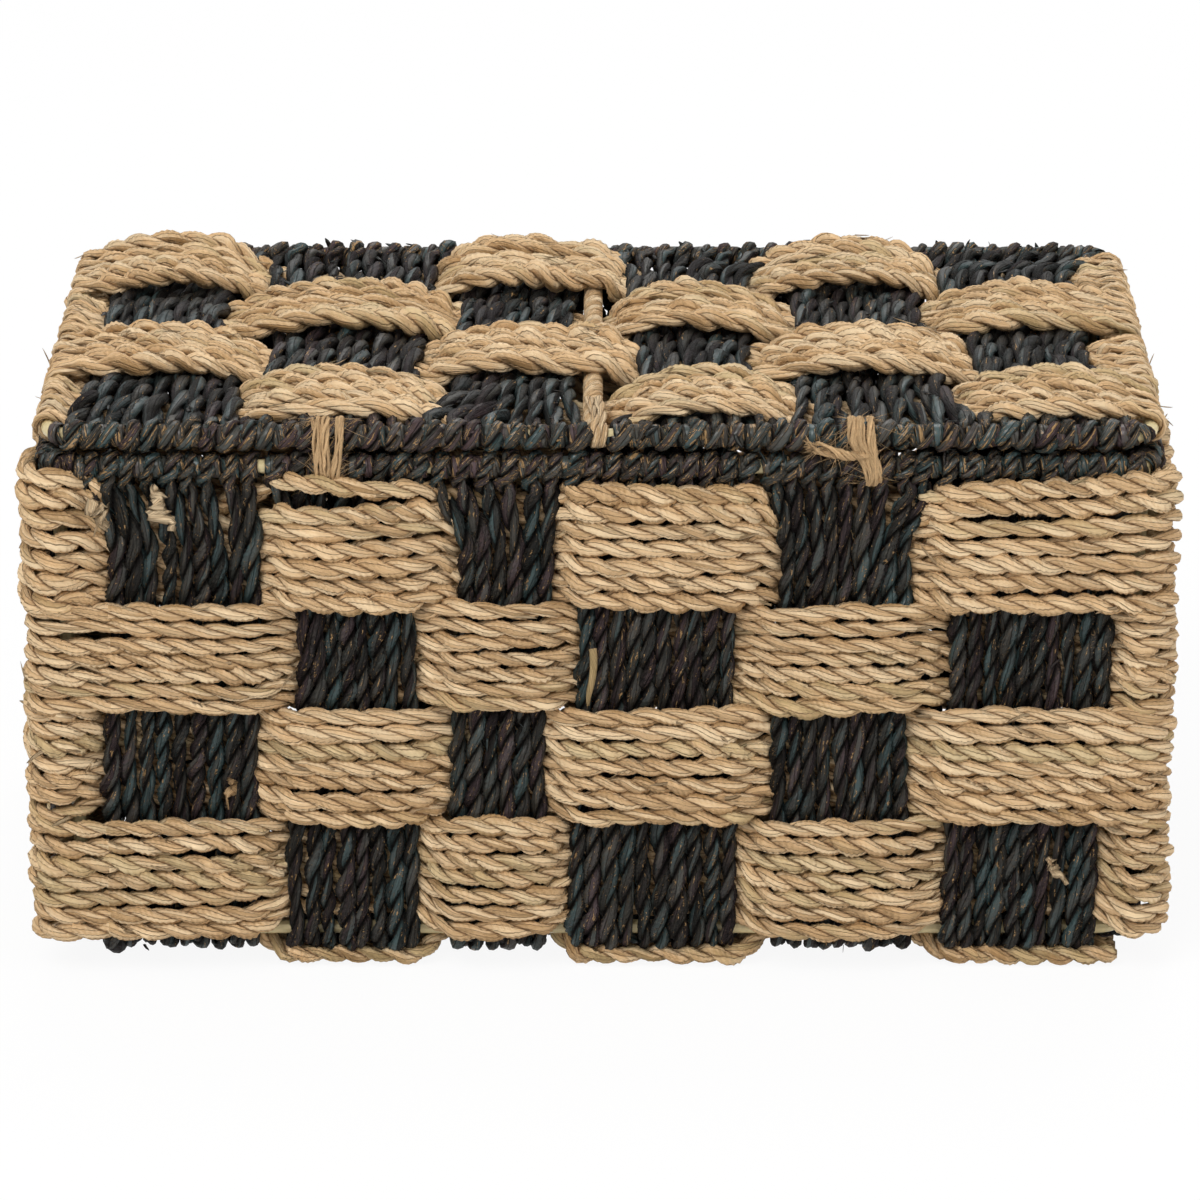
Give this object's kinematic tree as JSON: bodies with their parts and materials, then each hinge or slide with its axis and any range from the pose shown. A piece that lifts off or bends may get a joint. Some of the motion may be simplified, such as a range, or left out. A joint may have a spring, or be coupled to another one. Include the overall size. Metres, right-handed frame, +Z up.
{
  "type": "woven lidded box",
  "caption": "Rectangular lidded box woven of natural and dark seagrass cord on a coated wire frame, its flat lid lashed on with jute ties.",
  "frame": {"origin": "middle of the underside, on the surface that the box stands on", "axes": "+Z up, X along the long sides, the hinge ties on the -Y side, so the lid opens at +Y"},
  "size_m": [0.3194, 0.1897, 0.1677],
  "materials": {
    "natural_seagrass": "dry straw-coloured twisted seagrass cord, matt",
    "dark_seagrass": "blue-black dyed twisted seagrass cord with undyed flecks, slight sheen",
    "coated_wire": "steel wire with a smooth cream coating",
    "jute": "fuzzy twisted jute string"
  },
  "bodies": {
    "box": {"base_weft_1": "natural_seagrass", "base_weft_2": "natural_seagrass", "base_weft_3": "natural_seagrass", "base_weft_4": "natural_seagrass", "body_frame": "coated_wire", "hinge_tie_left": "jute", "hinge_tie_right": "jute", "side_warp_left_1": "dark_seagrass", "side_warp_left_2": "dark_seagrass", "side_warp_left_3": "dark_seagrass", "side_warp_left_4": "dark_seagrass", "side_warp_left_5": "dark_seagrass", "side_warp_left_6": "dark_seagrass", "side_warp_right_1": "dark_seagrass", "side_warp_right_2": "dark_seagrass", "side_warp_right_3": "dark_seagrass", "side_warp_right_4": "dark_seagrass", "side_warp_right_5": "dark_seagrass", "side_warp_right_6": "dark_seagrass", "wall_weft_1": "natural_seagrass", "wall_weft_2": "natural_seagrass", "wall_weft_3": "natural_seagrass", "wall_weft_4": "natural_seagrass", "warp_1": "dark_seagrass", "warp_2": "dark_seagrass", "warp_3": "dark_seagrass", "warp_4": "dark_seagrass", "warp_5": "dark_seagrass", "warp_6": "dark_seagrass"},
    "lid": {"lid_bar_wrap": "natural_seagrass", "lid_frame": "coated_wire", "lid_warp_1": "dark_seagrass", "lid_warp_2": "dark_seagrass", "lid_warp_3": "dark_seagrass", "lid_warp_4": "dark_seagrass", "lid_warp_5": "dark_seagrass", "lid_warp_6": "dark_seagrass", "lid_weft_1": "natural_seagrass", "lid_weft_2": "natural_seagrass", "lid_weft_3": "natural_seagrass", "lid_weft_4": "natural_seagrass"}
  },
  "joints": [
    {"name": "lid_hinge", "type": "hinge", "parent": "box", "child": "lid", "pos_m": [0, -0.088, 0.1589], "axis": [1, 0, 0], "range_deg": [0, 180]}
  ]
}
